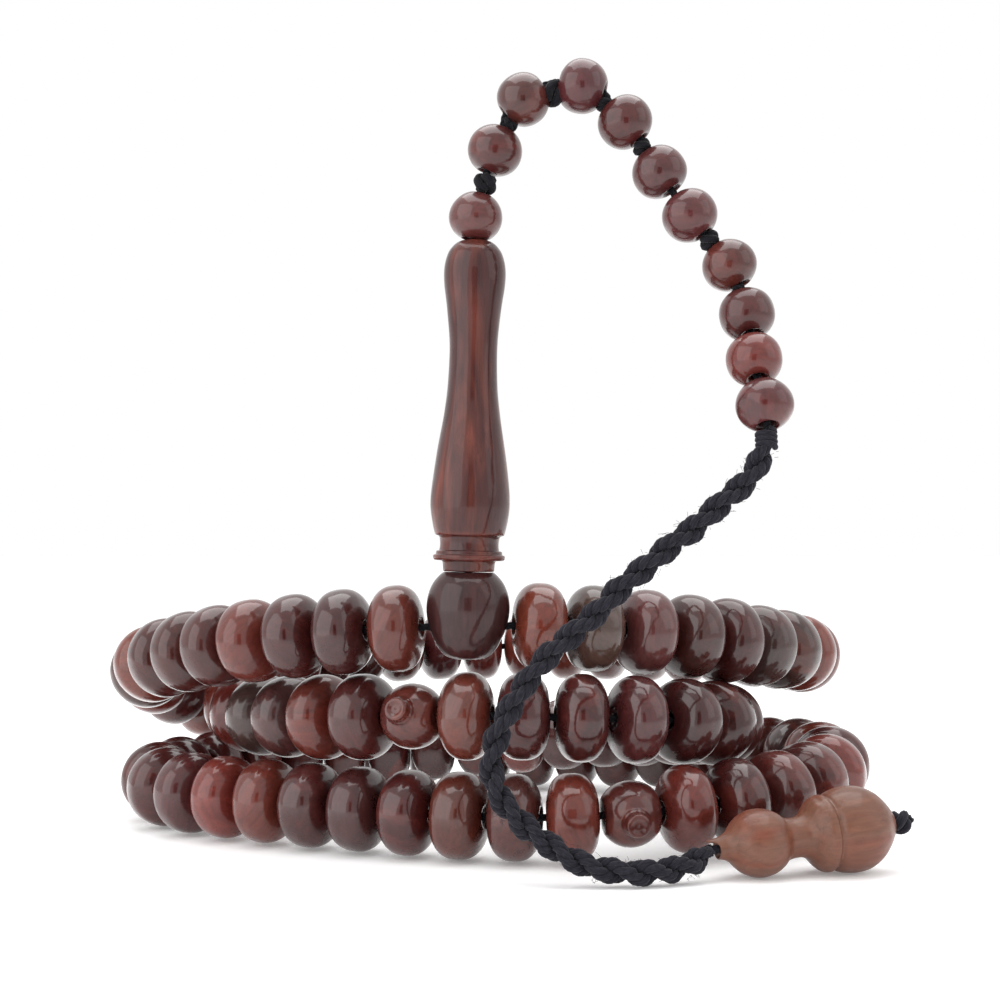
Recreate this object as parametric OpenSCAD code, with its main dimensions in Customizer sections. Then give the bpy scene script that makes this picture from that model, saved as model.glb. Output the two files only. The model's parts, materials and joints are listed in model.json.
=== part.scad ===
// Misbaha: a 99-bead prayer string coiled in three turns, with a turned imam,
// a knotted string of small counter beads, a braided tail and a gourd-shaped end bead.
// +Z is up, the floor is Z = 0, and the imam stands at the front (-Y) of the coil.

/* [Main beads] */
// Diameter of a main bead
bead_d = 10.6; // [9.8:0.1:10.6]
// Diameter of the hole through a main bead
bead_bore_d = 2.0; // [1.8:0.1:2.4]
// Free space between two main beads
bead_gap = 0.12; // [0.1:0.02:0.3]
// How square a bead's outline is: 2 is an ellipse
bead_squareness = 2.4; // [2:0.1:2.4]
// Loose cord left beside the sliding bead, both sides together
cord_slack = 6; // [4:1:8]

/* [Marker beads] */
// Diameter of a marker ball
marker_d = 8.0; // [7.4:0.1:8.4]
// Diameter of the nub on a marker ball
nub_d = 2.8; // [2.2:0.1:3]
// How far the nub stands out of its ball
nub_out = 1.3; // [0.8:0.1:1.5]

/* [Cords] */
// Diameter of the cord through the main beads
main_cord_d = 1.0; // [0.8:0.1:1.2]
// Diameter of the cord through the imam and the counter beads
counter_cord_d = 1.0; // [0.8:0.1:1.2]
// Diameter of the braided tail
braid_d = 3.2; // [2.6:0.1:3.3]

/* [Imam] */
// Diameter of the imam's head bead
imam_head_d = 10; // [9:0.2:10.2]
// Largest diameter of the imam's shaft
imam_shaft_d = 9.6; // [8.6:0.2:9.8]
// Diameter of the hole up the imam
imam_bore_d = 1.8; // [1.6:0.1:2]
// Sideways lean of the imam in degrees
imam_lean = 1.2; // [0:0.2:2]

/* [Counter beads] */
// Diameter of a counter bead
counter_d = 6.6; // [6:0.1:6.8]
// Length of a counter bead along its hole
counter_len = 6.1; // [5.6:0.1:6.2]
// Diameter of the hole through a counter bead
counter_bore_d = 1.9; // [1.8:0.1:2.2]

/* [End bead] */
// Diameter of the hole along the gourd-shaped end bead
gourd_bore_d = 2.0; // [1.8:0.1:2.2]

/* [Hidden] */
main_count = 99;
// the string holds the main beads and two markers, each in one place of the row
places = main_count + 2;
marker_places = [33, 67];
counter_count = 11;
slide_place = 84;
// the places next to the imam and to the first marker have nodes of their own
single_places = [
  for (i = [0:9]) i,
  for (i = [30:36]) if (i != 33) i,
  for (i = [64:70]) if (i != 67) i,
  slide_place,
  for (i = [93:100]) i
];
// the rest go in runs between them
runs = [[10, 21], [22, 29], [37, 49], [50, 63], [71, 83], [85, 92]];
run_names = ["rear_beads_upper_right", "rear_beads_upper_left", "beads_middle_right",
  "beads_lower_left", "beads_lower_right", "rear_beads_climbing"];
wood = "#5a2c26";
wood_light = "#9a5f46";
cord_black = "#26262b";
bead_fn = 48;
tube_sides = 8;

// ---- the coil ----
// Each row: turn in degrees from the imam, half width, half depth, sideways shift, depth
// shift and height. The string makes three turns and climbs back at the rear left.
turn_rows = [
  [0,    44,   39.5, -2.5, 5.5,   28.2],
  [90,   43.5, 37,   0.5,  6,     22.3],
  [180,  44,   36,   -1.5, 5.5,   21.5],
  [225,  41,   31.5, -2,   1,     20.5],
  [270,  35.5, 28,   1,    -0.5,  15.6],
  [360,  32.5, 24,   2.2,  -11.5, 17.5],
  [450,  30.3, 22.5, 0,    -15.5, 14.6],
  [540,  36.5, 25,   1.5,  -5.5,  9],
  [585,  41,   30,   0,    -2,    6],
  [630,  45.5, 30,   0,    -1,    5.6],
  [675,  44.5, 28,   3,    -2.5,  5.6],
  [720,  41.5, 31,   7.5,  -5.5,  5.6],
  [810,  45.5, 33,   0,    -5.5,  8.6],
  [900,  46,   34,   -2.5, -1,    5.6],
  [945,  46.5, 35.5, -2.5, 3,     11.5],
  [990,  46.5, 35.5, -2,   7,     19.5]
];
row_count = len(turn_rows);
full_turn = 1080;
turn_step = 3;

function row_at(i) = turn_rows[(i + row_count) % row_count];
function row_start(i) =
  i < 0 ? turn_rows[i + row_count][0] - full_turn
  : (i < row_count ? turn_rows[i][0] : turn_rows[i - row_count][0] + full_turn);
function row_index(t, i = 0) =
  i == row_count - 1 || t < row_start(i + 1) ? i : row_index(t, i + 1);
// cubic curve from q to r with the end slopes m and n, both counted over the whole step
function cubic(q, m, r, n, u) =
  q + u * (m + u * (3 * (r - q) - 2 * m - n + u * (2 * (q - r) + m + n)));
function row_slope(i, column) =
  (row_at(i + 1)[column] - row_at(i - 1)[column]) / (row_start(i + 1) - row_start(i - 1));
function row_value(t, column, i) =
  let (step = row_start(i + 1) - row_start(i))
  cubic(row_at(i)[column], step * row_slope(i, column),
    row_at(i + 1)[column], step * row_slope(i + 1, column), (t - row_start(i)) / step);
function coil_point(t) =
  let (i = row_index(t))
  [
    row_value(t, 3, i) + row_value(t, 1, i) * sin(t),
    row_value(t, 4, i) - row_value(t, 2, i) * cos(t),
    row_value(t, 5, i)
  ];

coil_points = [for (t = [0:turn_step:full_turn]) coil_point(t % full_turn)];
coil_steps = len(coil_points) - 1;
function coil_move(i) =
  let (j = (i + coil_steps) % coil_steps)
  coil_points[j + 1] - coil_points[j];
function bend(i) = norm(unit(coil_move(i)) - unit(coil_move(i - 1))) / norm(coil_move(i));
// Beads touch at the inside of a bend, so they stand further apart there: each step of
// the string counts for less of a bead where it bends.
bend_room = 24;
function counted(i) = norm(coil_move(i)) / (1 + bend_room * pow(bend(i), 2));
coil_lengths = [
  for (i = 0, total = 0; i <= coil_steps; total = total + counted(i), i = i + 1) total
];
string_length = coil_lengths[coil_steps];
axis_tables = [for (k = [0:2]) [for (i = [0:coil_steps]) [coil_lengths[i], coil_points[i][k]]]];
function along(s) = [for (k = [0:2]) lookup(s, axis_tables[k])];
function unit(v) = v / norm(v);
function direction(s) = unit(along(s + 0.5) - along(s - 0.5));

imam_half = 5.2;
pitch = (string_length - 2 * imam_half - cord_slack) / places;
bead_len = pitch - bead_gap;
function place_length(i) =
  imam_half + pitch * (i + 0.5)
  + (i == slide_place ? cord_slack / 2 : (i > slide_place ? cord_slack : 0));

// turns +Z to the direction v
module point_along(v) {
  rotate([0, acos(v[2]), atan2(v[1], v[0])]) children();
}

// ---- turned shapes ----
// half outline of a bead: bore edge, then round the outside from end to end
function bead_outline(d, len, bore, power, steps = 12) = [
  for (i = [0:steps])
    let (a = 180 * i / steps, r = d / 2 * pow(sin(a), 2 / power),
      z = sign(cos(a)) * len / 2 * pow(abs(cos(a)), 2 / power))
    if (r > bore / 2 + 0.2) [r, z]
];

module drilled_bead(d, len, bore, power) {
  outline = bead_outline(d, len, bore, power);
  last = len(outline) - 1;
  end_z = outline[0][1];
  rotate_extrude($fn = bead_fn)
    polygon(concat([[bore / 2, end_z]], outline, [[bore / 2, outline[last][1]]]));
}

module main_bead(i) {
  color(wood)
    translate(along(place_length(i)))
      point_along(direction(place_length(i)))
        drilled_bead(bead_d, bead_len, bead_bore_d, bead_squareness);
}

module bead_run(first, last) {
  for (i = [first:last]) main_bead(i);
}

// a turned ball with flat ends on the cord; its nub faces out of the coil and a little up
// or down
marker_tilts = [15, -8];
function outward(v, tilt) =
  unit([v[1] * cos(tilt), -v[0] * cos(tilt), norm([v[0], v[1]]) * sin(tilt)]);
module marker(k) {
  s = place_length(marker_places[k]);
  r = marker_d / 2;
  nub_r = nub_d / 2;
  nub_top = r + nub_out;
  nub_edge = 0.2;
  rim_angle = acos(nub_r / r);
  ball = [for (a = [-90:15:rim_angle - 5]) [r * cos(a), r * sin(a)]];
  nub = [
    [nub_r, r * sin(rim_angle)], [nub_r, nub_top - nub_edge],
    [nub_r - nub_edge, nub_top], [0, nub_top]
  ];
  color(wood)
    translate(along(s))
      difference() {
        point_along(outward(direction(s), marker_tilts[k]))
          rotate_extrude($fn = bead_fn) polygon(concat(ball, nub));
        point_along(direction(s)) {
          cylinder(d = bead_bore_d, h = marker_d + 2, center = true, $fn = 24);
          for (side = [0, 1])
            mirror([0, 0, side])
              translate([0, 0, bead_len / 2]) cylinder(d = marker_d, h = 2, $fn = 24);
        }
      }
}

// ---- tubes ----
// one closed tube through the points, with a radius for each point
function frame_side(v) = unit(cross(v, abs(v[2]) < 0.8 ? [0, 0, 1] : [0, 1, 0]));
module tube(points, radii, closed = false) {
  n = len(points);
  dirs = [
    for (i = [0:n - 1])
      unit(closed ? points[(i + 1) % n] - points[(i + n - 1) % n]
        : points[min(i + 1, n - 1)] - points[max(i - 1, 0)])
  ];
  // each ring's side direction is the one before it, carried along the tube
  sides = [
    for (i = 0, side = frame_side(dirs[0]); i < n;
      i = i + 1, side = i < n ? unit(side - (side * dirs[i]) * dirs[i]) : side)
    side
  ];
  rings = [
    for (i = [0:n - 1])
      let (u = sides[i], w = cross(dirs[i], u))
      for (k = [0:tube_sides - 1])
        let (a = 360 * k / tube_sides)
        points[i] + radii[i] * (cos(a) * u + sin(a) * w)
  ];
  // a closed tube joins its last ring to the first with the smallest twist
  twist = round(atan2(sides[0] * cross(dirs[n - 1], sides[n - 1]), sides[0] * sides[n - 1])
    * tube_sides / 360);
  walls = [
    for (i = [0:(closed ? n - 1 : n - 2)])
      let (shift = i == n - 1 ? tube_sides - twist : 0, base = i * tube_sides,
        next = ((i + 1) % n) * tube_sides)
      for (k = [0:tube_sides - 1])
        let (k2 = (k + 1) % tube_sides,
          a = base + k, b = base + k2,
          c = next + (k2 + shift) % tube_sides, d = next + (k + shift) % tube_sides)
        each [[a, d, c], [a, c, b]]
  ];
  caps = closed ? [] : [
    [for (k = [0:tube_sides - 1]) k],
    [for (k = [tube_sides - 1:-1:0]) (n - 1) * tube_sides + k]
  ];
  polyhedron(rings, concat(walls, caps));
}

// the cord bends between the beads, so it has a ring in each gap
gap_lengths = [
  for (i = [0:places]) i < places ? place_length(i) - pitch / 2 : string_length - imam_half
];
module main_cord() {
  stops = concat([0], gap_lengths);
  color(cord_black)
    tube([for (s = stops) along(s)], [for (s = stops) main_cord_d / 2], closed = true);
}

// ---- the imam ----
imam_foot = along(0);
// head outline below and above the cross hole, as height and radius
head_rows = [[-3.8, 2.2], [-3.4, 2.9], [-2.2, 3.8], [-0.6, 4.6], [1, 4.95], [2.4, 5],
  [3.8, 4.8], [5, 4.3], [5.9, 3.6], [6.5, 2.95]];
// shaft outline from its foot to its top
shaft_rows = [[6.6, 2.9], [7.1, 3.1], [7.9, 3.2], [8.2, 4.1], [8.7, 4.35], [9.2, 4.1], [9.5, 3.6],
  [10.3, 3.5], [10.9, 3.7], [11.2, 4.15], [13, 4.6], [14.8, 4.8], [17, 4.65], [20.7, 4.15],
  [25, 3.4], [29, 2.98], [33.7, 2.88], [38, 3.3], [41.5, 3.72], [43.5, 3.65], [45, 3.1],
  [45.9, 2.2], [46.2, 1.5]];
function scaled_rows(rows, k) = [for (r = rows) [r[1] * k, r[0]]];
head_scale = imam_head_d / 10;
shaft_scale = imam_shaft_d / 9.6;
chamber_d = 3.2;
chamber_top = 3;

module imam_place() {
  translate(imam_foot) rotate([0, imam_lean, 0]) children();
}

module turned(outline, bore) {
  last = len(outline) - 1;
  rotate_extrude($fn = bead_fn)
    polygon(concat([[bore / 2, outline[0][1]]], outline, [[bore / 2, outline[last][1]]]));
}

module imam_head() {
  color(wood) imam_place()
    difference() {
      turned(scaled_rows(head_rows, head_scale), imam_bore_d);
      rotate([0, 90, 0]) cylinder(d = bead_bore_d, h = 12, center = true, $fn = 24);
      translate([0, 0, -4]) cylinder(d = chamber_d, h = chamber_top + 4, $fn = 24);
    }
}

module imam_shaft() {
  color(wood) imam_place()
    turned(scaled_rows(shaft_rows, shaft_scale), imam_bore_d);
}

// ---- the counter string ----
// centre of each counter bead, from the imam's top over the arch and down its right side
counter_points = [
  [-1.5, -34, 77.3], [0.8, -34, 85.3], [4.2, -34, 91.4], [11.3, -34.5, 92.8],
  [16.3, -35.5, 88.3], [20.3, -36, 82.3], [23.8, -37.5, 76.8], [28.4, -38, 70.9],
  [30.2, -40, 64.8], [30.6, -43.2, 59.2], [31.3, -46.5, 53.8]
];
imam_top = 46.2;
lean_dir = [sin(imam_lean), 0, cos(imam_lean)];
string_start = imam_foot + 1.2 * lean_dir;
string_end = [31.3, -47.8, 49.7];
string_route = concat(
  [string_start, imam_foot + (imam_top + 0.3) * lean_dir], counter_points, [string_end]
);
route_last = len(string_route) - 1;
function route_slope(i) =
  (string_route[min(i + 1, route_last)] - string_route[max(i - 1, 1)]) / 2;
// straight up the imam, then one smooth curve through the beads
function route_at(x) =
  let (i = min(floor(x), route_last - 1), u = x - i, q = string_route[i], r = string_route[i + 1])
  i == 0 ? q + (r - q) * u : cubic(q, route_slope(i), r, route_slope(i + 1), u);
function route_dir(x) = unit(route_at(min(x + 0.05, route_last)) - route_at(max(x - 0.05, 0)));

// The cord is straight inside the imam and inside each counter bead, and bends between them.
function bead_end(i, side) = route_at(i + 1) + side * counter_len / 2 * route_dir(i + 1);
module counter_cord() {
  route = concat(
    [for (u = [0:0.25:1]) route_at(u)],
    [for (i = [1:counter_count]) each [bead_end(i, -1), route_at(i + 1), bead_end(i, 1)]],
    [string_end]
  );
  color(cord_black) tube(route, [for (p = route) counter_cord_d / 2]);
}

module counter_bead(i) {
  x = i + 1;
  color(wood)
    translate(route_at(x)) point_along(route_dir(x))
      drilled_bead(counter_d, counter_len, counter_bore_d, 2.2);
}

// a knot is two or three wraps of cord side by side round the string
module knot(wraps, wrap_d) {
  for (k = [0:wraps - 1])
    translate([0, 0, (k - (wraps - 1) / 2) * wrap_d * 0.72])
      rotate_extrude($fn = 24)
        translate([counter_cord_d / 2 + wrap_d / 2 + 0.02, 0]) circle(d = wrap_d, $fn = 16);
}

// which bead each knot follows, how many wraps it has, and how thick each wrap is
knot_rows = [
  [1, 2, 0.85], [2, 1, 0.5], [3, 1, 0.4], [4, 1, 0.45],
  [5, 1, 0.6], [7, 1, 0.8], [8, 1, 0.25]
];
module spacer_knots() {
  color(cord_black)
    for (row = knot_rows) {
      middle = (bead_end(row[0], 1) + bead_end(row[0] + 1, -1)) / 2;
      way = unit(route_dir(row[0] + 1) + route_dir(row[0] + 2));
      translate(middle) point_along(way) knot(row[1], row[2]);
    }
}

// the knot that ties the counter string to the main cord, inside the imam's head
module head_knot() {
  color(cord_black) imam_place() translate([0, 0, 1.6]) knot(1, 0.9);
}

// ---- the tail ----
// route of the braid, from under the last counter bead to the floor and the end bead
tail_points = [
  [31, -48.2, 48.5], [30.2, -48.4, 46.8], [29, -48.5, 45], [26.6, -48.7, 43], [23.5, -48.8, 40.2],
  [20.4, -49, 37.8], [17.3, -49, 35.2], [14.3, -49, 32.6], [11.7, -49, 29.9], [8.8, -49, 27.4],
  [6, -49, 24.7], [3.2, -49, 20.8], [1.2, -49, 16.8], [0.4, -49.2, 13.4], [1.2, -49.6, 10.2],
  [3.5, -50, 7.3], [6.6, -50.4, 4.8], [9.6, -50.8, 3], [13, -51, 2], [17, -51, 1.7],
  [21, -49.6, 1.9], [24.4, -47.6, 2.9]
];
gourd_yaw = 16.3;
gourd_pitch = 5.3;
small_ball = [30.8, -45.1, 3.98];
gourd_dir = [cos(gourd_pitch) * cos(gourd_yaw), cos(gourd_pitch) * sin(gourd_yaw), sin(gourd_pitch)];
function on_gourd(u) = small_ball + u * gourd_dir;
spout_tip = -5.2;
gourd_end = 16.8;
braid_stop = spout_tip - 0.5;
core_d = 1.1;

module tail_braid() {
  core_stops = [braid_stop, spout_tip - 0.1, 2, 9, gourd_end + 1.8];
  route = concat(tail_points, [on_gourd(braid_stop - 0.5)], [for (u = core_stops) on_gourd(u)]);
  last_thick = len(tail_points);
  radii = [
    for (i = [0:len(route) - 1])
      i == 0 || i == last_thick + 1 ? 0.9 : (i <= last_thick ? braid_d / 2 : core_d / 2)
  ];
  color(cord_black) tube(route, radii);
}

// tight wraps that close the top of the braid under the last counter bead
module tail_whipping() {
  top = string_route[route_last];
  color(cord_black)
    translate(top + [0, 0, 0.1]) point_along(unit(top - tail_points[0])) knot(2, 0.9);
}

// half outline of the end bead: distance along it from the small ball's centre, and radius
gourd_rows = [[-5.2, 1.2], [-4.4, 1.35], [-3.7, 1.7], [-3.1, 2.4], [-2.3, 3.2], [-1.2, 3.75],
  [0, 3.93], [1.2, 3.75], [2.3, 3.2], [3.1, 2.5], [3.8, 2.3], [5.2, 2.3], [6.2, 2.9],
  [7, 3.9], [7.6, 4.4], [8.3, 4.5], [8.7, 4.25], [9.2, 4.45], [10.2, 4.85], [11.5, 5],
  [13, 4.8], [14.5, 4.05], [15.7, 2.95], [16.5, 1.9], [16.8, 1.4]];
module gourd() {
  color(wood_light)
    translate(small_ball) point_along(gourd_dir)
      turned(scaled_rows(gourd_rows, 1), gourd_bore_d);
}

module end_knot() {
  color(cord_black)
    translate(on_gourd(gourd_end + 1)) point_along(gourd_dir)
      for (k = [0, 1])
        translate([0, 0, k * 0.9 - 0.3])
          rotate_extrude($fn = 24)
            translate([core_d / 2 + 0.5, 0]) circle(d = 0.95, $fn = 16);
}

function two_digits(i) = i < 10 ? str("0", i) : str(i);
function bead_name(i) = str("bead_", two_digits(i < 33 ? i + 1 : (i < 67 ? i : i - 1)));

main_cord();
imam_head();
imam_shaft();
head_knot();
counter_cord();
spacer_knots();
tail_whipping();
tail_braid();
gourd();
end_knot();
marker(0);  // marker_1
marker(1);  // marker_2
for (i = [1:counter_count])
  counter_bead(i);
for (i = [0:len(runs) - 1])
  bead_run(runs[i][0], runs[i][1]);
for (i = single_places)
  main_bead(i);
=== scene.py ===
"""The looks of the misbaha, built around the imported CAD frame. Metres, +Z up."""

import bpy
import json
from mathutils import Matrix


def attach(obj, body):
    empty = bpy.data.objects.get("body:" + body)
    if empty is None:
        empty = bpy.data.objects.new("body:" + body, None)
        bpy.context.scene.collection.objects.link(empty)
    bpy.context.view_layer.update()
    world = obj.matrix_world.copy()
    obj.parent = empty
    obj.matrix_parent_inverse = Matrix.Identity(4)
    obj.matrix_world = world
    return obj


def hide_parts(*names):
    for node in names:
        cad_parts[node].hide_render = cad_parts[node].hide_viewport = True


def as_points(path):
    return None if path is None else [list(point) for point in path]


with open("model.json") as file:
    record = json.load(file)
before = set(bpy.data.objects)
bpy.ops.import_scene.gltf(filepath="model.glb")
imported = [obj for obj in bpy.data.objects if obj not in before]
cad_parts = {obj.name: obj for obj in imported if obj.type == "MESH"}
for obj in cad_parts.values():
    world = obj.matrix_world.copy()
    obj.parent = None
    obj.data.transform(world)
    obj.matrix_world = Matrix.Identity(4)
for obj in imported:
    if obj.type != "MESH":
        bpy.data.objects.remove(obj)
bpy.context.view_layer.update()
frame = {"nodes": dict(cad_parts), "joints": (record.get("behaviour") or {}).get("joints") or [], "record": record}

import json
import math
import random

import bpy
import numpy as np
from mathutils import Vector, noise

MM = 0.001
WORLD_UP = np.array([0.0, 0.0, 1.0])
scene = bpy.context.scene
# Blender seeds its noise vectors from the clock unless they are given a seed.
noise.seed_set(1)


# ---------------------------------------------------------------- camera, light and floor

def add_camera():
    data = bpy.data.cameras.new("camera")
    data.lens = 64.8
    data.sensor_width = 36
    data.shift_y = 0.046
    data.clip_start = 0.01
    data.dof.use_dof = False
    camera = bpy.data.objects.new("camera", data)
    camera.location = (1.39 * MM, -250 * MM, 37.8 * MM)
    camera.rotation_euler = (math.radians(90), 0, 0)
    scene.collection.objects.link(camera)
    scene.camera = camera


def add_area(name, location, target, size, power):
    data = bpy.data.lights.new(name, "AREA")
    data.shape = "RECTANGLE"
    data.size, data.size_y = size
    data.energy = power
    light = bpy.data.objects.new(name, data)
    light.location = location
    light.rotation_euler = (Vector(target) - Vector(location)).to_track_quat("-Z", "Y").to_euler()
    scene.collection.objects.link(light)


def add_world(brightness):
    world = bpy.data.worlds.new("world")
    world.use_nodes = True
    world.node_tree.nodes["Background"].inputs["Color"].default_value = (1, 1, 1, 1)
    world.node_tree.nodes["Background"].inputs["Strength"].default_value = brightness
    scene.world = world


def add_plane(name, centre, side, up, material):
    """A flat stage piece: half its width along side and half its height along up."""
    c, s, u = Vector(centre), Vector(side), Vector(up)
    mesh = bpy.data.meshes.new(name)
    mesh.from_pydata([c - s - u, c + s - u, c + s + u, c - s + u], [], [(0, 1, 2, 3)])
    plane = bpy.data.objects.new(name, mesh)
    plane.data.materials.append(material)
    scene.collection.objects.link(plane)
    return plane


# ---------------------------------------------------------------- materials

class Nodes:
    """Short names for building one material's node tree."""

    def __init__(self, name):
        self.material = bpy.data.materials.new(name)
        self.material.use_nodes = True
        self.tree = self.material.node_tree
        self.shader = self.tree.nodes["Principled BSDF"]

    def add(self, kind, **inputs):
        node = self.tree.nodes.new(kind)
        for key, value in inputs.items():
            socket = node.inputs[key.replace("_", " ")]
            if isinstance(value, bpy.types.NodeSocket):
                self.tree.links.new(value, socket)
            else:
                socket.default_value = value
        return node

    def attribute(self, name):
        node = self.tree.nodes.new("ShaderNodeAttribute")
        node.attribute_name = name
        return node

    def stretched(self, vector, scale):
        return self.add("ShaderNodeMapping", Vector=vector, Scale=scale).outputs["Vector"]

    def noise(self, vector, scale, detail=2.0, distortion=0.0):
        return self.add("ShaderNodeTexNoise", Vector=vector, Scale=scale, Detail=detail,
                        Distortion=distortion).outputs["Fac"]

    def ramp(self, value, low, high, out_low=0.0, out_high=1.0):
        node = self.add("ShaderNodeMapRange", Value=value)
        limits = {"From Min": low, "From Max": high, "To Min": out_low, "To Max": out_high}
        for key, number in limits.items():
            node.inputs[key].default_value = number
        return node.outputs["Result"]

    def mix(self, factor, a, b, blend="MIX"):
        node = self.tree.nodes.new("ShaderNodeMix")
        node.data_type = "RGBA"
        node.blend_type = blend
        for socket, value in ((node.inputs["Factor"], factor), (node.inputs[6], a), (node.inputs[7], b)):
            if isinstance(value, bpy.types.NodeSocket):
                self.tree.links.new(value, socket)
            else:
                socket.default_value = value
        return node.outputs[2]

    def math(self, operation, a, b):
        node = self.tree.nodes.new("ShaderNodeMath")
        node.operation = operation
        for socket, value in ((node.inputs[0], a), (node.inputs[1], b)):
            if isinstance(value, bpy.types.NodeSocket):
                self.tree.links.new(value, socket)
            else:
                socket.default_value = value
        return node.outputs[0]

    def bump(self, height, strength, distance, normal=None):
        node = self.add("ShaderNodeBump", Height=height, Strength=strength, Distance=distance)
        if normal is not None:
            self.tree.links.new(normal, node.inputs["Normal"])
        return node.outputs["Normal"]

    def link(self, value, socket):
        self.tree.links.new(value, self.shader.inputs[socket])


def wood_material(name, roughness, coat, contrast=1.0, crack=0.0, waviness=0.12, specular=0.15):
    """Turned wood. 'grain' holds places in millimetres, with the fibres along its third
    axis; 'tint' is the piece's own colour and 'patch' the colour of its lighter streaks."""
    n = Nodes(name)
    grain = n.attribute("grain").outputs["Vector"]
    tint = n.attribute("tint").outputs["Color"]
    patch = n.attribute("patch").outputs["Color"]
    figure = n.noise(n.stretched(grain, (1, 1, 0.35)), 0.26, 2.0, 0.8)
    colour = n.mix(n.ramp(figure, 0.45, 0.7), tint, patch)
    streaks = n.noise(n.stretched(grain, (1, 1, 0.1)), 1.5, 3.0, 0.6)
    shade = n.ramp(streaks, 0.3, 0.72, 1.0 - 0.5 * contrast, 1.0 + 0.45 * contrast)
    grey = n.add("ShaderNodeCombineXYZ", X=shade, Y=shade, Z=shade).outputs[0]
    colour = n.mix(1.0, colour, grey, "MULTIPLY")
    pores = n.noise(n.stretched(grain, (1, 1, 0.05)), 9.0, 2.0)
    pore_mark = n.ramp(pores, 0.62, 0.72, 0.0, 0.45 * contrast)
    colour = n.mix(pore_mark, colour, (0.012, 0.005, 0.005, 1))
    fibre_bump = n.bump(streaks, 0.10, 0.05 * MM)
    ripple = n.noise(grain, 0.55, 1.0)
    normal = n.bump(ripple, waviness, 0.6 * MM, fibre_bump)
    if crack:
        rift = n.noise(n.stretched(grain, (1.6, 1.6, 0.22)), 0.9, 1.0, 0.4)
        line = n.ramp(n.math("ABSOLUTE", n.math("SUBTRACT", rift, 0.5), 0.0), 0.0, 0.006, 1.0, 0.0)
        zone = n.ramp(n.noise(grain, 0.35, 1.0), 0.56, 0.62)
        marks = n.math("MULTIPLY", n.math("MULTIPLY", line, zone), crack)
        colour = n.mix(marks, colour, (0.01, 0.004, 0.004, 1))
        normal = n.bump(n.math("SUBTRACT", 1.0, marks), 0.5, 0.06 * MM, normal)
    n.link(colour, "Base Color")
    n.link(normal, "Normal")
    gloss = n.noise(grain, 0.8, 2.0)
    n.link(n.ramp(gloss, 0.3, 0.7, roughness * 0.8, roughness * 1.25), "Roughness")
    n.shader.inputs["Specular IOR Level"].default_value = specular
    n.shader.inputs["Coat Weight"].default_value = coat
    n.shader.inputs["Coat Roughness"].default_value = 0.09
    n.shader.inputs["Coat IOR"].default_value = 1.5
    coat_ripple = n.bump(ripple, waviness * 0.8, 0.6 * MM)
    n.link(coat_ripple, "Coat Normal")
    return n.material


def thread_material(name, colour, lift):
    """Black thread. 'grain' holds (millimetres along, turns round, strand number)."""
    n = Nodes(name)
    grain = n.attribute("grain").outputs["Vector"]
    fibres = n.noise(n.stretched(grain, (1.0, 6.0, 1.0)), 2.2, 3.0, 0.3)
    lint = n.noise(n.stretched(grain, (3.0, 12.0, 1.0)), 3.0, 2.0)
    light = tuple(c * lift for c in colour[:3]) + (1,)
    n.link(n.mix(n.ramp(fibres, 0.35, 0.7), colour, light), "Base Color")
    normal = n.bump(fibres, 0.7, 0.12 * MM)
    n.link(n.bump(lint, 0.4, 0.05 * MM, normal), "Normal")
    n.link(n.ramp(lint, 0.3, 0.7, 0.7, 0.95), "Roughness")
    n.shader.inputs["Specular IOR Level"].default_value = 0.15
    n.shader.inputs["Sheen Weight"].default_value = 0.1
    n.shader.inputs["Sheen Roughness"].default_value = 0.4
    return n.material


def floor_material():
    n = Nodes("floor_paper")
    place = n.add("ShaderNodeNewGeometry").outputs["Position"]
    tone = n.ramp(n.noise(place, 300, 2.0), 0.3, 0.7, 0.9, 0.92)
    n.link(n.add("ShaderNodeCombineXYZ", X=tone, Y=tone, Z=tone).outputs[0], "Base Color")
    n.shader.inputs["Roughness"].default_value = 0.6
    n.shader.inputs["Specular IOR Level"].default_value = 0.2
    n.shader.inputs["Emission Color"].default_value = (1, 1, 1, 1)
    n.shader.inputs["Emission Strength"].default_value = 0.18
    return n.material


def card_material():
    n = Nodes("dark_card")
    n.shader.inputs["Base Color"].default_value = (0.01, 0.01, 0.01, 1)
    n.shader.inputs["Roughness"].default_value = 0.9
    n.shader.inputs["Specular IOR Level"].default_value = 0.0
    return n.material


# ---------------------------------------------------------------- mesh helpers

def unit(v):
    v = np.asarray(v, float)
    return v / np.linalg.norm(v)


def axes_for(direction, near=WORLD_UP):
    """Two directions at right angles to direction, the second as close to near as it can be."""
    direction = unit(direction)
    side = np.cross(direction, near)
    if np.linalg.norm(side) < 1e-3:
        side = np.cross(direction, [1.0, 0, 0])
    side = unit(side)
    return side, np.cross(side, direction)


def new_piece(name, points, faces, material, body, **attributes):
    """A mesh piece riding on a body. Each attribute is one colour or one vector a point."""
    mesh = bpy.data.meshes.new(name)
    mesh.from_pydata([tuple(p) for p in points], [], faces)
    for key, value in attributes.items():
        value = np.asarray(value, np.float32)
        is_colour = value.shape[-1] == 4
        if value.ndim == 1:
            value = np.tile(value, (len(points), 1))
        kind, field = ("FLOAT_COLOR", "color") if is_colour else ("FLOAT_VECTOR", "vector")
        mesh.attributes.new(key, kind, "POINT").data.foreach_set(field, value.ravel())
    mesh.polygons.foreach_set("use_smooth", [True] * len(mesh.polygons))
    mesh.materials.append(material)
    piece = bpy.data.objects.new(name, mesh)
    scene.collection.objects.link(piece)
    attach(piece, body)
    return piece


def ring_faces(rings, around, closed):
    faces = []
    for i in range(rings if closed else rings - 1):
        j = (i + 1) % rings
        for k in range(around):
            m = (k + 1) % around
            faces.append((i * around + k, i * around + m, j * around + m, j * around + k))
    return faces


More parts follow.
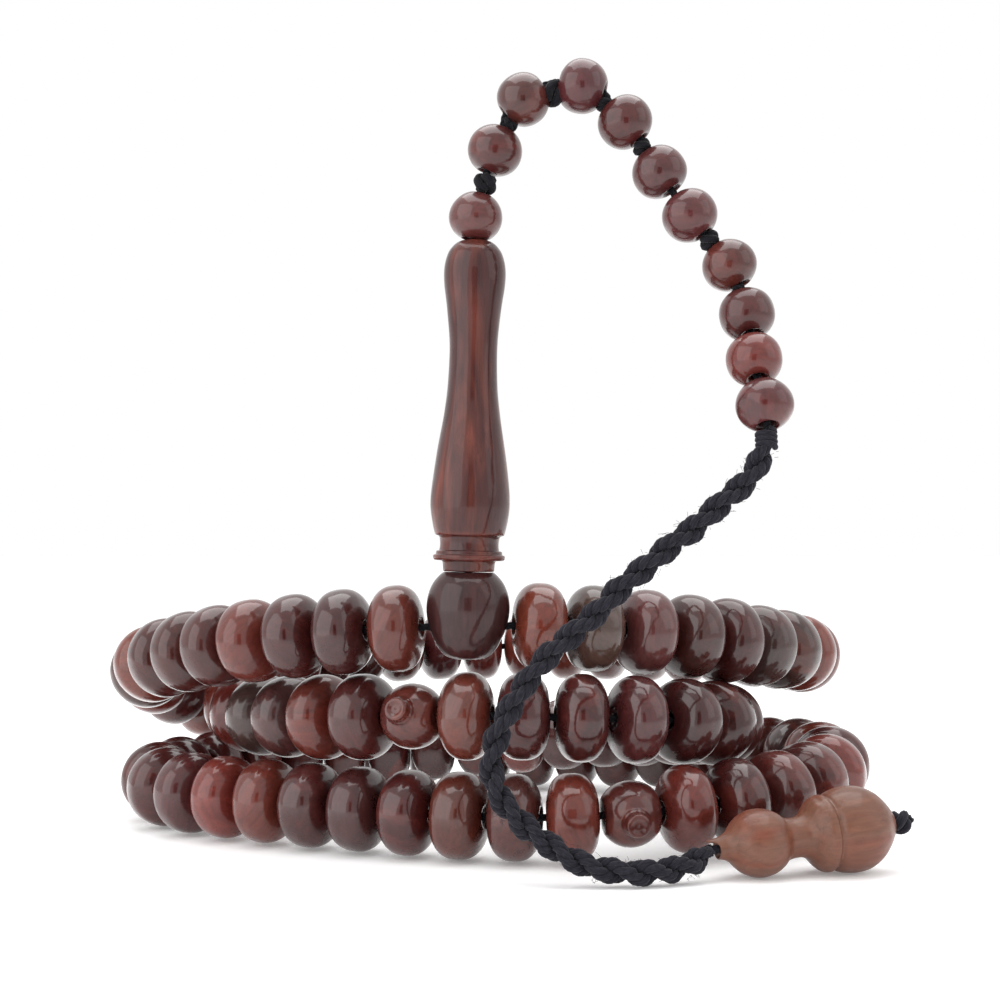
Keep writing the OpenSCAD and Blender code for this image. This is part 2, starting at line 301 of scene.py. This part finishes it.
def lathe(outline, around):
    """Points (radius, angle, height) and faces of a turned ring whose outline closes on itself."""
    angles = np.linspace(0, 2 * math.pi, around, endpoint=False)
    cylinder = np.array([(r, a, z) for r, z in outline for a in angles])
    return cylinder, ring_faces(len(outline), around, True)


def upright(cylinder):
    r, a, z = cylinder.T
    return np.column_stack([r * np.cos(a), r * np.sin(a), z])


def placed(local, centre, direction, near=WORLD_UP):
    """Local points moved to centre, their third axis along direction."""
    side, up = axes_for(direction, near)
    return centre + local @ np.array([side, up, unit(direction)])


def smooth_curve(rows, steps):
    """Catmull-Rom through rows of numbers, with steps points to each span."""
    rows = np.asarray(rows, float)
    ends = np.vstack([2 * rows[0] - rows[1], rows, 2 * rows[-1] - rows[-2]])
    u = np.linspace(0, 1, steps, endpoint=False)[:, None]
    parts = []
    for p, q, r, s in zip(ends, ends[1:], ends[2:], ends[3:]):
        parts.append(0.5 * (2 * q + (r - p) * u + (2 * p - 5 * q + 4 * r - s) * u * u
                            + (3 * q - p - 3 * r + s) * u ** 3))
    return np.vstack([*parts, rows[-1:]])


def resampled(path, step):
    """The path's points again, one each step along it."""
    lengths = np.r_[0, np.cumsum(np.linalg.norm(np.diff(path, axis=0), axis=1))]
    stops = np.linspace(0, lengths[-1], max(2, round(lengths[-1] / step) + 1))
    return np.column_stack([np.interp(stops, lengths, path[:, k]) for k in range(3)]), stops


def carried_frames(path, closed=False):
    """Tangent, side and up at each point, turning as little as they can along the path."""
    if closed:
        tangents = np.roll(path, -1, 0) - np.roll(path, 1, 0)
    else:
        tangents = np.gradient(path, axis=0)
    tangents /= np.linalg.norm(tangents, axis=1)[:, None]
    side, _ = axes_for(tangents[0])
    sides = []
    for t in tangents:
        side = unit(side - np.dot(side, t) * t)
        sides.append(side)
    sides = np.array(sides)
    return tangents, sides, np.cross(tangents, sides)


def tube(path, radius, around=8, closed=False, strand=0):
    """Points, faces and grain of a round tube. radius is one number or one a point."""
    tangents, sides, ups = carried_frames(path, closed)
    angles = np.linspace(0, 2 * math.pi, around, endpoint=False)
    radius = np.broadcast_to(np.asarray(radius, float), (len(path),))
    ring = np.cos(angles)[None, :, None] * sides[:, None] + np.sin(angles)[None, :, None] * ups[:, None]
    points = (path[:, None] + radius[:, None, None] * ring).reshape(-1, 3)
    lengths = np.r_[0, np.cumsum(np.linalg.norm(np.diff(path, axis=0), axis=1))] / MM
    turns = np.abs(np.linspace(-1, 1, around, endpoint=False))
    grain = np.array([(s, t, 7.3 * strand) for s in lengths for t in turns])
    faces = ring_faces(len(path), around, closed)
    if not closed:
        last = (len(path) - 1) * around
        faces += [tuple(range(around - 1, -1, -1)), tuple(range(last, last + around))]
    return points, faces, grain


def joined(parts):
    """Several (points, faces, grain) sets as one."""
    points, faces, grains, base = [], [], [], 0
    for p, f, g in parts:
        points.append(p)
        grains.append(g)
        faces += [tuple(base + i for i in face) for face in f]
        base += len(p)
    return np.vstack(points), faces, np.vstack(grains)


def wound(path, stops, offset, pitch, phase, wobble=0.0, seed=0.0):
    """A line that winds round the path at a distance, once in each pitch."""
    _, sides, ups = carried_frames(path)
    angle = 2 * math.pi * stops / pitch + phase
    reach = np.broadcast_to(np.asarray(offset, float), (len(path),)).copy()
    if wobble:
        reach *= 1 + wobble * np.array([noise.noise((s * 400, seed, 0)) for s in stops])
    return path + reach[:, None] * (np.cos(angle)[:, None] * sides + np.sin(angle)[:, None] * ups)


def twisted_cord(path, diameter, pitch, plies=3, around=6):
    """A laid thread of several plies."""
    path, stops = resampled(path, pitch / 9)
    ply = diameter * 0.27
    return joined([
        tube(wound(path, stops, diameter / 2 - ply, pitch, 2 * math.pi * k / plies), ply, around, strand=k)
        for k in range(plies)])


def overhand_knot(centre, direction, width, height, thread, seed):
    """A pulled-tight overhand knot: a trefoil loop of thread round the string."""
    draw = random.Random(seed)
    t = np.linspace(0, 2 * math.pi, 72, endpoint=False)
    reach = (width / 2 - thread / 2) / 3
    local = np.column_stack([
        reach * (2 + np.cos(3 * t)) * np.cos(2 * t),
        reach * (2 + np.cos(3 * t)) * np.sin(2 * t),
        (height / 2 - thread / 2) * np.sin(3 * t)])
    turn = draw.uniform(0, 2 * math.pi)
    spin = np.array([[math.cos(turn), -math.sin(turn), 0], [math.sin(turn), math.cos(turn), 0], [0, 0, 1]])
    local = local @ spin
    local *= 1 + np.array([0.06 * noise.noise((a, seed, 1)) for a in t])[:, None]
    return tube(placed(local, centre, direction), thread / 2, 8, closed=True, strand=seed)


def jittered(points, amount, size, seed):
    """Points pushed about by smooth noise: amount metres, over lumps of that size."""
    shift = np.array([noise.noise_vector(Vector(p) / size + Vector((seed, 0, 0))) for p in points])
    return points + amount * shift


def random_turn(draw):
    """A random rotation matrix."""
    a, b, c = (unit([draw.gauss(0, 1) for _ in range(3)]) for _ in range(3))
    b = unit(b - np.dot(a, b) * a)
    return np.array([a, b, np.cross(a, b)])


# ---------------------------------------------------------------- places read from the frame

def node_solids(name):
    """(centre, axis, half length, radius) of each turned solid in a CAD node."""
    mesh = frame["nodes"][name].data
    points = np.zeros(len(mesh.vertices) * 3)
    mesh.vertices.foreach_get("co", points)
    points = points.reshape(-1, 3)
    keys = {}
    ids = [keys.setdefault(tuple(np.round(p, 6)), len(keys)) for p in points]
    parent = list(range(len(keys)))

    def root(i):
        while parent[i] != i:
            parent[i] = parent[parent[i]]
            i = parent[i]
        return i

    for polygon in mesh.polygons:
        first = root(ids[polygon.vertices[0]])
        for v in polygon.vertices[1:]:
            parent[root(ids[v])] = first
    groups = {}
    for key, i in keys.items():
        groups.setdefault(root(i), []).append(key)
    solids = []
    for group in groups.values():
        group = np.array(group)
        middle = (group.min(0) + group.max(0)) / 2
        centre = group.mean(0)
        values, vectors = np.linalg.eigh(np.cov((group - centre).T))
        odd = 0 if values[1] - values[0] > values[2] - values[1] else 2
        axis = vectors[:, odd]
        along = (group - middle) @ axis
        centre = middle + axis * (along.max() + along.min()) / 2
        reach = np.linalg.norm(np.cross(group - centre, axis), axis=1).max()
        solids.append((centre, axis, (along.max() - along.min()) / 2, reach))
    return sorted(solids, key=lambda s: tuple(np.round(s[0], 5)))


def joint_of(body):
    return next(j for j in frame["joints"] if j["child"] == body)


NODE_BODY = {n: b for b, nodes in frame["record"]["behaviour"]["bodies"].items() for n in nodes}
IMAM_FOOT = np.array(joint_of("imam_head")["pos_m"])
IMAM_AXIS = unit(joint_of("imam_shaft")["axis"])


# ---------------------------------------------------------------- cords first: the braided tail

# the braid's route, as in the CAD part: from under the last counter bead to the floor
TAIL_POINTS = MM * np.array([
    (31, -48.2, 48.5), (30.2, -48.4, 46.8), (29, -48.5, 45), (26.6, -48.7, 43),
    (23.5, -48.8, 40.2), (20.4, -49, 37.8), (17.3, -49, 35.2), (14.3, -49, 32.6),
    (11.7, -49, 29.9), (8.8, -49, 27.4), (6, -49, 24.7), (3.2, -49, 20.8), (1.2, -49, 16.8),
    (0.4, -49.2, 13.4), (1.2, -49.6, 10.2), (3.5, -50, 7.3), (6.6, -50.4, 4.8),
    (9.6, -50.8, 3), (13, -51, 2), (17, -51, 1.7), (21, -49.6, 1.9), (24.4, -47.6, 2.9)])
BRAID_D = 3.2 * MM
BRAID_PITCH = 7.2 * MM
THREAD_PITCH = 2.9 * MM
# how far a strand lies from the braid's middle, a thread from its strand's, and a thread's radius
STRAND_REACH = 0.7 * MM
THREAD_REACH = 0.4 * MM
THREAD_RADIUS = 0.44 * MM
HAIR_COUNT = 420
HAIR_RADIUS = 0.022 * MM
GOURD_DIR = unit(joint_of("gourd")["axis"])
SMALL_BALL = np.array(joint_of("gourd")["pos_m"])
SPOUT = SMALL_BALL - 5.2 * MM * GOURD_DIR
GOURD_END = SMALL_BALL + 16.8 * MM * GOURD_DIR


def braid_lines(path, stops):
    """Two fat strands wound round each other, each a bundle of three threads."""
    ends = np.minimum(stops / 2.2, (stops[-1] - stops) / 3.5) / MM
    slim = np.clip(0.5 + 0.5 * ends, 0, 1)
    for k in range(2):
        strand = wound(path, stops, STRAND_REACH * slim, BRAID_PITCH, math.pi * k, 0.22, k + 3.1)
        for m in range(3):
            phase = 2 * math.pi * m / 3 + k
            thread = wound(strand, stops, THREAD_REACH * slim, -THREAD_PITCH, phase, 0.35, m + 9.7)
            yield thread, slim, 3 * k + m


def loose_fibres(path, reach, count, seed):
    """Short hairs that stand off a cord."""
    draw = random.Random(seed)
    tangents, sides, ups = carried_frames(path)
    parts = []
    for _ in range(count):
        i = draw.randrange(4, len(path) - 4)
        a = draw.uniform(0, 2 * math.pi)
        out = math.cos(a) * sides[i] + math.sin(a) * ups[i]
        lean = draw.uniform(-1, 1) * tangents[i] + draw.uniform(-0.6, 0.6) * np.cross(out, tangents[i])
        length = draw.uniform(0.25, 0.7) * MM
        start = path[i] + out * reach * 0.85
        bend = np.array([
            start + length * (s * (0.75 * out + lean) + s * s * 0.5 * lean)
            for s in (0, 0.5, 1)])
        if bend[:, 2].min() > 0.05 * MM:
            parts.append(tube(bend, HAIR_RADIUS, 3, strand=9))
    return parts


def make_tail(material):
    route = np.vstack([
        joint_of("tail")["pos_m"],
        TAIL_POINTS,
        SPOUT - 1.3 * MM * GOURD_DIR,
        SPOUT - 0.5 * MM * GOURD_DIR])
    path, stops = resampled(smooth_curve(route, 12), 0.24 * MM)
    parts = [tube(line, THREAD_RADIUS * slim, 8, strand=s) for line, slim, s in braid_lines(path, stops)]
    parts += loose_fibres(path, BRAID_D / 2, HAIR_COUNT, 5)
    points, faces, grain = joined(parts)
    lowest = 0.12 * MM
    points[:, 2] = np.where(points[:, 2] < lowest, lowest + (points[:, 2] - lowest) * 0.1, points[:, 2])
    tail = new_piece("braided_tail", points, faces, material, "tail", grain=grain)
    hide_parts("tail_braid")
    core_line = np.array([
        SPOUT - 0.7 * MM * GOURD_DIR,
        SPOUT + 8 * MM * GOURD_DIR,
        GOURD_END + 0.4 * MM * GOURD_DIR])
    points, faces, grain = twisted_cord(core_line, 1.1 * MM, 2.4 * MM)
    core = new_piece("cord_in_end_bead", points, faces, material, "tail", grain=grain)
    return tail, core, path, stops


def make_end_knot(material):
    centre = GOURD_END + 1.2 * MM * GOURD_DIR
    parts = [overhand_knot(centre, GOURD_DIR, 3.0 * MM, 2.4 * MM, 1.15 * MM, 4)]
    stub = np.array([centre, centre + MM * (1.5 * GOURD_DIR + (0, -0.1, 0.1))])
    parts.append(twisted_cord(stub, 1.2 * MM, 2.0 * MM))
    points, faces, grain = joined(parts)
    knot = new_piece("tail_end_knot", points, faces, material, "tail", grain=grain)
    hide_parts("end_knot")
    return knot


# ---------------------------------------------------------------- turned pieces

def half_outline(radius, half, bore, power, steps, skew=0.0):
    """A rondelle's outline with a small chamfer at each mouth of its bore."""
    mouth = bore + 0.35 * MM
    outline = []
    for i in range(steps + 1):
        a = math.pi * i / steps
        r = radius * math.sin(a) ** (2 / power)
        z = math.copysign(half * abs(math.cos(a)) ** (2 / power), math.cos(a))
        z += skew * half * math.sin(a) ** 2
        if r > mouth:
            outline.append((r, z))
    top, bottom = outline[0][1], outline[-1][1]
    inner = [(bore, bottom + 0.35 * MM), (bore, 0), (bore, top - 0.35 * MM)]
    return [(mouth, top), *outline, (mouth, bottom), *inner]


DARK = (0.05, 0.01, 0.009)
RED = (0.115, 0.021, 0.014)
OLIVE = (0.05, 0.024, 0.021)
ROSE = (0.072, 0.017, 0.016)
# radii of the bores, and the size of a counter bead
BEAD_BORE = 1.0 * MM
COUNTER_BORE = 0.95 * MM
IMAM_BORE = 0.9 * MM
GOURD_BORE = 1.0 * MM
COUNTER_HALF = 3.05 * MM
COUNTER_R = 3.3 * MM


def bead_colours(draw, family):
    """A bead's own colour and the colour of its streaks."""
    tint = np.array(draw.choices(family, weights=(5, 3, 2, 2)[:len(family)])[0])
    patch = np.array(draw.choice(family))
    tint = tint * draw.uniform(0.75, 1.25) * (1, draw.uniform(0.9, 1.15), draw.uniform(0.9, 1.15))
    patch = 0.5 * (tint + patch) * draw.uniform(1.0, 1.4)
    return [*tint, 1], [*patch, 1]


def make_bead(name, solid, seed, material, body, bore, power, family, dent=None):
    """One bead, each a little different in outline, colour and grain."""
    draw = random.Random(seed)
    centre, axis, half, radius = solid
    radius *= draw.uniform(0.98, 1.0)
    half *= draw.uniform(0.985, 1.005)
    power += draw.uniform(-0.12, 0.08)
    outline = half_outline(radius, half, bore, power, 30, draw.uniform(-0.05, 0.05))
    cylinder, faces = lathe(outline, 64)
    local = upright(cylinder)
    squeeze = 1 - 0.012 * draw.random() * np.cos(2 * cylinder[:, 1] + draw.uniform(0, 6))
    local[:, :2] *= squeeze[:, None]
    near_bore = np.clip((cylinder[:, 0] - bore) / MM, 0, 1)[:, None]
    moved = jittered(local, 0.07 * MM, 4 * MM, seed * 1.7)
    local = local + (moved - local) * near_bore
    if dent:
        normal, depth = unit(dent[0]), dent[1]
        over = np.maximum(local @ normal - depth, 0)
        local = local - (0.88 * over)[:, None] * normal
    grain = local / MM @ random_turn(draw) + np.array([draw.uniform(0, 90) for _ in range(3)])
    tint, patch = bead_colours(draw, family)
    piece = new_piece(name, placed(local, centre, axis), faces, material, body,
                      grain=grain, tint=tint, patch=patch)
    return piece


def make_main_beads(material):
    """All main beads, in the order in which the string runs. Returns their places."""
    beads = []
    for name in sorted(frame["nodes"]):
        if name.startswith(("bead_", "beads_", "rear_beads_")):
            beads += [(name, solid) for solid in node_solids(name)]
    replaced = set()
    for number, (node, solid) in enumerate(beads):
        piece = make_bead(f"main_bead_{number + 1:02d}", solid, number + 11, material, NODE_BODY[node],
                          BEAD_BORE, 2.6, (DARK, RED, OLIVE, ROSE))
        if node not in replaced:
            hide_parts(node)
            replaced.add(node)
    return [solid for _, solid in beads]


def make_marker(number, material):
    """A turned ball whose nub has a raised rim round a small hollow."""
    body = f"marker_{number}"
    joint = joint_of(body)
    centre, cord_dir = np.array(joint["pos_m"]), unit(joint["axis"])
    mesh = frame["nodes"][body].data
    points = np.array([v.co for v in mesh.vertices])
    away = points - centre
    reach = np.linalg.norm(away, axis=1)
    nub_dir = unit(away[reach > reach.max() - 0.15 * MM].mean(0))
    half = np.abs(away @ cord_dir)[reach < 4.1 * MM].max()
    ball_r, nub_r, top = 4.0 * MM, 1.4 * MM, 5.3 * MM
    outline = [(0.01 * MM, -ball_r)]
    outline += [(ball_r * math.cos(a), ball_r * math.sin(a)) for a in np.radians(np.arange(-87, 66, 4))]
    outline += [(nub_r + x * MM, y * MM) for x, y in
                ((0.3, 3.72), (0.1, 3.86), (0, 4.1), (0, 4.6), (0.02, 4.95), (-0.06, 5.17), (-0.22, 5.29),
                 (-0.42, 5.27), (-0.6, 5.17), (-0.76, 5.06), (-0.92, 5.01), (-1.15, 5.0))]
    outline += [(0.01 * MM, top - 0.3 * MM)]
    cylinder, faces = lathe(outline, 72)
    local = upright(cylinder)
    side, up = axes_for(nub_dir, cord_dir)
    local = jittered(local, 0.05 * MM, 3 * MM, number)
    points = centre + local @ np.array([side, up, nub_dir])
    along = (points - centre) @ cord_dir
    excess = np.sign(along) * np.maximum(np.abs(along) - half, 0)
    points = points - excess[:, None] * cord_dir
    draw = random.Random(number)
    grain = local / MM @ random_turn(draw) + 31 * number
    piece = new_piece(f"marker_ball_{number}", points, faces, material, body, grain=grain,
                      tint=[0.075, 0.017, 0.014, 1], patch=[0.12, 0.026, 0.018, 1])
    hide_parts(body)


def rounded(rows, steps=5):
    """The rows of (height, radius) in millimetres as a smooth outline of (radius, height)."""
    curve = smooth_curve(rows, steps)
    return [(r * MM, z * MM) for z, r in curve]


def bored(outline, bore):
    return [*outline, (bore, outline[-1][1]), (bore, outline[0][1])]


HEAD_ROWS = [
    (-4.0, 1.2), (-3.9, 1.9), (-3.6, 2.6), (-3.0, 3.25), (-2.2, 3.8), (-0.6, 4.5), (1, 4.9),
    (2.4, 4.98), (3.8, 4.78), (5, 4.3), (5.8, 3.72), (6.3, 3.2), (6.45, 2.95)]
# the collar: a waist, a thin flange with a step, a second waist, then the shoulder
COLLAR_ROWS = [
    (6.52, 2.9), (6.65, 3.05), (7.2, 3.1), (7.65, 3.16), (7.8, 3.3), (7.86, 3.95), (7.95, 4.2),
    (8.15, 4.3), (8.4, 4.3), (8.52, 4.16), (8.6, 3.98), (8.95, 3.92), (9.05, 3.62), (9.2, 3.56),
    (9.7, 3.5), (10.4, 3.56), (10.75, 3.7), (10.9, 4.1), (11.15, 4.22)]
SHAFT_ROWS = [
    (11.15, 4.22), (12, 4.42), (13.4, 4.66), (14.8, 4.76), (17, 4.62), (20.7, 4.14), (25, 3.42),
    (29, 3.0), (33.7, 2.88), (38, 3.28), (41, 3.66), (43, 3.66), (44.6, 3.28), (45.5, 2.7),
    (46, 2.1), (46.2, 1.6)]


def make_imam(material):
    head = bored(rounded(HEAD_ROWS, 4), IMAM_BORE)
    shaft = bored(rounded(COLLAR_ROWS, 3) + rounded(SHAFT_ROWS, 6)[1:], IMAM_BORE)
    for name, node, outline, tint, patch in (
            ("imam_head_bead", "imam_head", head, (0.034, 0.012, 0.012, 1), (0.05, 0.014, 0.013, 1)),
            ("imam_turned_shaft", "imam_shaft", shaft, (0.047, 0.013, 0.012, 1), (0.13, 0.031, 0.02, 1))):
        cylinder, faces = lathe(outline, 96)
        local = upright(cylinder)
        outside = (cylinder[:, 0] > 1.2 * MM)[:, None]
        local = np.where(outside, jittered(local, 0.05 * MM, 5 * MM, 3.3), local)
        grain = local / MM * (1, 1, 0.55) + 17
        # Painted highlight: thin rings of lighter, redder colour painted along the collar's flange and shoulder
        # edges.
        edge_highlight = np.zeros(len(local))
        for edge in (7.9, 8.3, 11.05):
            edge_highlight += np.exp(-((cylinder[:, 2] / MM - edge) / 0.22) ** 2) * (cylinder[:, 0] > 3.7 * MM)
        edge_highlight = np.clip(edge_highlight, 0, 1)[:, None]
        tints = np.array(tint) * (1 - edge_highlight) + np.array((0.085, 0.019, 0.014, 1)) * edge_highlight
        patches = np.array(patch) * (1 - edge_highlight) + np.array((0.13, 0.028, 0.018, 1)) * edge_highlight
        piece = new_piece(name, placed(local, IMAM_FOOT, IMAM_AXIS), faces, material, NODE_BODY[node],
                          grain=grain, tint=tints, patch=patches)
        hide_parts(node)


GOURD_ROWS = [
    (-5.1, 1.15), (-4.7, 1.25), (-4.2, 1.42), (-3.6, 1.85), (-3.05, 2.5), (-2.3, 3.18),
    (-1.2, 3.73), (0, 3.92), (1.2, 3.73), (2.3, 3.2), (3.0, 2.62), (3.5, 2.4), (4.3, 2.3),
    (5.2, 2.38), (5.9, 2.8), (6.5, 3.5), (7.1, 4.1), (7.6, 4.4), (8.0, 4.47), (8.3, 4.4),
    (8.5, 4.22), (8.75, 4.2), (9.0, 4.4), (9.4, 4.62), (10.2, 4.85), (11.5, 4.98), (13, 4.78),
    (14.5, 4.06), (15.6, 3.05), (16.3, 2.2), (16.7, 1.6)]


def make_gourd(material):
    """The end bead. Its mouth runs out to a pointed lip on the side away from the floor."""
    cylinder, faces = lathe(bored(rounded(GOURD_ROWS, 4), GOURD_BORE), 96)
    r, a, z = cylinder.T
    lip = np.clip(np.cos(a - math.radians(88)), 0, 1) ** 6
    lip = lip * np.clip((-3.0 * MM - z) / (2.2 * MM), 0, 1) ** 1.5
    notch = np.exp(-(((a - math.radians(80) + math.pi) % (2 * math.pi) - math.pi) / 0.35) ** 2
                   - ((z / MM - 7.5) / 0.35) ** 2)
    cylinder = np.column_stack([r - 0.25 * MM * notch * (r > 3 * MM), a, z - 1.4 * MM * lip])
    local = upright(cylinder)
    outside = (r > 1.1 * MM)[:, None]
    local = np.where(outside, jittered(local, 0.07 * MM, 4 * MM, 8.8), local)
    grain = local / MM * (1, 1, 0.8) + 55
    piece = new_piece("gourd_end_bead", placed(local, SMALL_BALL, GOURD_DIR), faces, material, "gourd",
                      grain=grain, tint=[0.148, 0.06, 0.036, 1], patch=[0.16, 0.043, 0.023, 1])
    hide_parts("gourd")


# ---------------------------------------------------------------- the strings

def string_order(places):
    """The bead places sorted along the string, from the imam round the three turns."""
    left = list(places)
    here, way = IMAM_FOOT, np.array([1.0, 0, 0])
    order = []
    while left:
        ahead = here + way * 6 * MM
        nearest = min(range(len(left)), key=lambda i: np.linalg.norm(left[i][0] - ahead))
        centre, axis = left.pop(nearest)
        way = axis if np.dot(axis, centre - here) > 0 else -axis
        here = centre
        order.append((centre, way))
    return order


def make_main_cord(solids, material):
    """The loop of thread, straight through every bore and bent only between the beads."""
    places = [(c, a) for c, a, _, _ in solids]
    for number in (1, 2):
        joint = joint_of(f"marker_{number}")
        places.append((np.array(joint["pos_m"]), unit(joint["axis"])))
    points = [IMAM_FOOT + (1.5 * MM, 0, 0)]
    for centre, way in string_order(places):
        points += [centre - 2.4 * MM * way, centre + 2.4 * MM * way]
    points.append(IMAM_FOOT - (1.5 * MM, 0, 0))
    points.append(points[0])
    parts = twisted_cord(smooth_curve(points, 4), 0.98 * MM, 2.6 * MM)
    points, faces, grain = parts
    cord = new_piece("main_thread", points, faces, material, "coil", grain=grain)
    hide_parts("main_cord")


def counter_places():
    return [(np.array(j["pos_m"]), unit(j["axis"]))
            for j in sorted(frame["joints"], key=lambda j: j["name"])
            if j["name"].startswith("counter_bead_")]


def make_counter_string(wood, thread):
    places = counter_places()
    for number, (centre, axis) in enumerate(places, 1):
        node = f"counter_bead_{number:02d}"
        solid = (centre, axis, COUNTER_HALF, COUNTER_R)
        dent = ((0.75, 0.25, 0.55), 2.7 * MM) if number == len(places) else None
        bead = make_bead(f"counter_ball_{number:02d}", solid, 200 + number, wood, node, COUNTER_BORE,
                         2.12, (ROSE, DARK, RED), dent)
        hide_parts(node)
    end = np.array(joint_of("tail")["pos_m"])
    route = [IMAM_FOOT + h * MM * IMAM_AXIS for h in (1.2, 24, 46.5)]
    for centre, way in places:
        route += [centre - 2.2 * MM * way, centre + 2.2 * MM * way]
    points, faces, grain = twisted_cord(smooth_curve([*route, end], 5), 0.98 * MM, 2.4 * MM)
    cord = new_piece("counter_thread", points, faces, thread, "counter_string", grain=grain)
    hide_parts("counter_cord")
    return places, end


# which two counter beads each knot is between, its width and height, and its thread, in mm
KNOTS = [(1, 3.1, 2.4, 1.05), (2, 2.1, 1.5, 0.8), (3, 3.5, 2.5, 1.15), (4, 2.1, 1.6, 0.8),
         (5, 2.5, 1.7, 0.9), (7, 2.8, 1.9, 0.95), (8, 1.8, 1.1, 0.6)]


def make_knots(places, end, thread, braid):
    for after, width, height, size in KNOTS:
        (first, _), (second, _) = places[after - 1], places[after]
        middle = (first + second) / 2
        parts = overhand_knot(middle, second - first, width * MM, height * MM, size * MM, after)
        new_piece(f"spacer_knot_{after}", *parts[:2], thread, "counter_string", grain=parts[2])
    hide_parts("spacer_knots")
    parts = overhand_knot(IMAM_FOOT + 1.6 * MM * IMAM_AXIS, IMAM_AXIS, 2.8 * MM, 1.6 * MM, 0.7 * MM, 3)
    tie = new_piece("tie_in_imam_head", *parts[:2], thread, "counter_string", grain=parts[2])
    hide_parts("head_knot")
    direction = unit(places[-1][0] - end)
    side, up = axes_for(direction)
    turns = np.linspace(0, 3.2, 70)
    angle = 2 * math.pi * turns
    wraps = (end + (0.1 + 0.62 * (turns - 1.6))[:, None] * MM * direction
             + 0.95 * MM * (np.cos(angle)[:, None] * side + np.sin(angle)[:, None] * up))
    points, faces, grain = tube(wraps, 0.36 * MM, 8)
    whipping = new_piece("tail_wraps", points, faces, braid, "counter_string", grain=grain)
    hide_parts("tail_whipping")


# ---------------------------------------------------------------- the scene

add_camera()
add_world(1.0)
scene.view_settings.view_transform = "Standard"
paper = floor_material()
add_plane("floor", (0, 0, 0), (6, 0, 0), (0, 6, 0), paper)
card = add_plane("dark_card", (0, -0.265, 0.07), (0.04, 0, 0), (0, 0, 0.055), card_material())
card.visible_camera = False
add_area("softbox_left", (-0.34, -0.26, 0.2), (0, 0, 0.03), (0.5, 0.5), 1.2)
add_area("softbox_right", (0.38, -0.16, 0.24), (0, 0, 0.03), (0.26, 0.36), 0.2)
add_area("softbox_top", (0, 0.05, 0.5), (0, 0, 0), (0.5, 0.5), 2.0)

bead_wood = wood_material("lacquered_bead_wood", 0.3, 0.9, contrast=0.5)
counter_wood = wood_material("counter_bead_wood", 0.34, 0.8, contrast=0.5)
imam_wood = wood_material("imam_streaked_wood", 0.36, 0.5, contrast=0.6, crack=0.8, waviness=0.08)
end_wood = wood_material("satin_end_wood", 0.42, 0.2, contrast=0.4, crack=0.35, waviness=0.06, specular=0.3)
black_thread = thread_material("black_waxed_thread", (0.006, 0.006, 0.008, 1), 2.2)
black_braid = thread_material("black_braided_cord", (0.009, 0.0085, 0.012, 1), 3.0)

tail, tail_core, tail_path, tail_stops = make_tail(black_braid)
end_knot = make_end_knot(black_braid)
make_gourd(end_wood)
tuple(tail_path[0])
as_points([tuple(p) for p in tail_path[::6]] + [tuple(tail_path[-1])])

bead_solids = make_main_beads(bead_wood)
make_marker(1, bead_wood)
make_marker(2, bead_wood)
make_main_cord(bead_solids, black_thread)
make_imam(imam_wood)
counter_beads, string_end = make_counter_string(counter_wood, black_thread)
make_knots(counter_beads, string_end, black_thread, black_braid)
